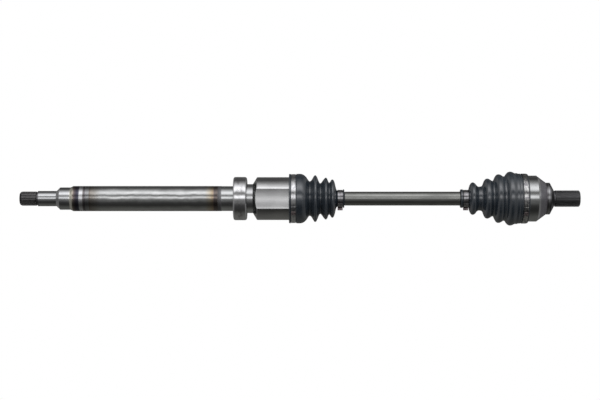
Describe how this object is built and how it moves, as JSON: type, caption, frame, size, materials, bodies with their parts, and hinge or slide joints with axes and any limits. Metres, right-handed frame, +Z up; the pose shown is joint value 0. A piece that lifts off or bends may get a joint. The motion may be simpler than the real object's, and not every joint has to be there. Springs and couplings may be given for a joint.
{
  "type": "cv axle",
  "caption": "Front drive shaft: splined stub, tube with support bearing, tripod joint and ball joint under rubber boots, bar between, splined wheel stub.",
  "frame": {"origin": "middle of the support bearing, on the axle's axis", "axes": "+X runs along the axle towards the wheel; +Z is up with the axle lying on the floor, square to the flat of the tripod housing that faces up"},
  "size_m": [0.9619, 0.0924, 0.0924],
  "materials": {
    "machined_steel": "machined, satin with turning marks",
    "forged_steel": "forged and oiled, matte",
    "bar_steel": "dark satin, induction hardened",
    "bearing_steel": "ground, bright",
    "clamp_steel": "bright stainless band",
    "spring_steel": "blued spring steel",
    "boot_rubber": "dark blue-grey, soft sheen",
    "seal_rubber": "matte black",
    "cage_plastic": "glass-filled nylon",
    "adapter_plastic": "black elastomer"
  },
  "bodies": {
    "housing": {"diff_stub_shaft": "machined_steel", "torque_tube": "machined_steel", "tulip_housing": "machined_steel", "tulip_retaining_wire": "spring_steel", "support_bearing_inner_ring": "bearing_steel", "inner_boot_adapter": "adapter_plastic", "inner_boot_large_clamp": "clamp_steel"},
    "bearing_outer": {"support_bearing_outer_ring": "bearing_steel", "support_bearing_seal_left": "seal_rubber", "support_bearing_seal_right": "seal_rubber"},
    "bearing_cage": {"support_bearing_balls": "bearing_steel", "support_bearing_cage": "cage_plastic"},
    "inner_boot": {"inner_boot": "boot_rubber"},
    "roller_1": {"roller_1": "bearing_steel", "roller_needles_1": "bearing_steel"},
    "bar": {"bar_shaft": "bar_steel", "tripod_spider": "machined_steel", "roller_washer_1": "machined_steel", "roller_washer_2": "machined_steel", "roller_washer_3": "machined_steel", "roller_snap_ring_1": "spring_steel", "roller_snap_ring_2": "spring_steel", "roller_snap_ring_3": "spring_steel", "spider_end_circlip": "spring_steel", "spider_stop_circlip": "spring_steel", "inner_race_circlip": "spring_steel", "inner_race": "bearing_steel", "inner_boot_small_clamp": "clamp_steel", "outer_boot_small_clamp": "clamp_steel"},
    "roller_2": {"roller_2": "bearing_steel", "roller_needles_2": "bearing_steel"},
    "roller_3": {"roller_3": "bearing_steel", "roller_needles_3": "bearing_steel"},
    "top_ball": {"joint_ball_1": "bearing_steel"},
    "ball_cage": {"ball_cage": "forged_steel", "joint_ball_2": "bearing_steel", "joint_ball_3": "bearing_steel", "joint_ball_5": "bearing_steel", "joint_ball_6": "bearing_steel", "outer_boot": "boot_rubber"},
    "bottom_ball": {"joint_ball_4": "bearing_steel"},
    "bell": {"outer_race_bell": "forged_steel", "outer_boot_large_clamp": "clamp_steel"}
  },
  "joints": [
    {"name": "support_bearing_spin", "type": "hinge", "parent": "housing", "child": "bearing_outer", "pos_m": [0, 0, 0], "axis": [1, 0, 0], "continuous": true},
    {"name": "support_bearing_cage_spin", "type": "hinge", "parent": "housing", "child": "bearing_cage", "pos_m": [0, 0, 0], "axis": [1, 0, 0], "continuous": true},
    {"name": "inner_plunge", "type": "slide", "parent": "housing", "child": "inner_boot", "axis": [1, 0, 0], "range_m": [-0.012, 0.012], "deforming": ["inner_boot"]},
    {"name": "inner_tilt_y", "type": "hinge", "parent": "inner_boot", "child": "roller_1", "pos_m": [0.063, 0, 0], "axis": [0, 1, 0], "range_deg": [-12, 12], "deforming": ["inner_boot"]},
    {"name": "inner_tilt_z", "type": "hinge", "parent": "roller_1", "child": "bar", "pos_m": [0.063, 0, 0], "axis": [0, 0, 1], "range_deg": [-12, 12], "deforming": ["inner_boot"]},
    {"name": "roller_2_spin", "type": "hinge", "parent": "bar", "child": "roller_2", "pos_m": [0.063, 0, 0], "axis": [0, 0.866, 0.5], "range_deg": [-46, 46]},
    {"name": "roller_3_spin", "type": "hinge", "parent": "bar", "child": "roller_3", "pos_m": [0.063, 0, 0], "axis": [0, -0.866, 0.5], "range_deg": [-46, 46]},
    {"name": "outer_tilt_y", "type": "hinge", "parent": "bar", "child": "top_ball", "pos_m": [0.49, 0, 0], "axis": [0, 1, 0], "range_deg": [-6, 6], "deforming": ["outer_boot"]},
    {"name": "outer_tilt_z", "type": "hinge", "parent": "top_ball", "child": "ball_cage", "pos_m": [0.49, 0, 0], "axis": [0, 0, 1], "range_deg": [-19, 19], "deforming": ["outer_boot"]},
    {"name": "outer_tilt_z_bell", "type": "hinge", "parent": "ball_cage", "child": "bottom_ball", "pos_m": [0.49, 0, 0], "axis": [0, 0, 1], "range_deg": [-19, 19], "deforming": ["outer_boot"]},
    {"name": "outer_tilt_y_bell", "type": "hinge", "parent": "bottom_ball", "child": "bell", "pos_m": [0.49, 0, 0], "axis": [0, 1, 0], "range_deg": [-6, 6], "deforming": ["outer_boot"]}
  ],
  "couplings": [
    {"joint": "support_bearing_cage_spin", "follows": "support_bearing_spin", "ratio": 0.57917},
    {"joint": "roller_2_spin", "follows": "inner_plunge", "rad_per_m": -64.516},
    {"joint": "roller_3_spin", "follows": "inner_plunge", "rad_per_m": -64.516},
    {"joint": "outer_tilt_z_bell", "follows": "outer_tilt_z", "ratio": 1},
    {"joint": "outer_tilt_y_bell", "follows": "outer_tilt_y", "ratio": 1}
  ]
}
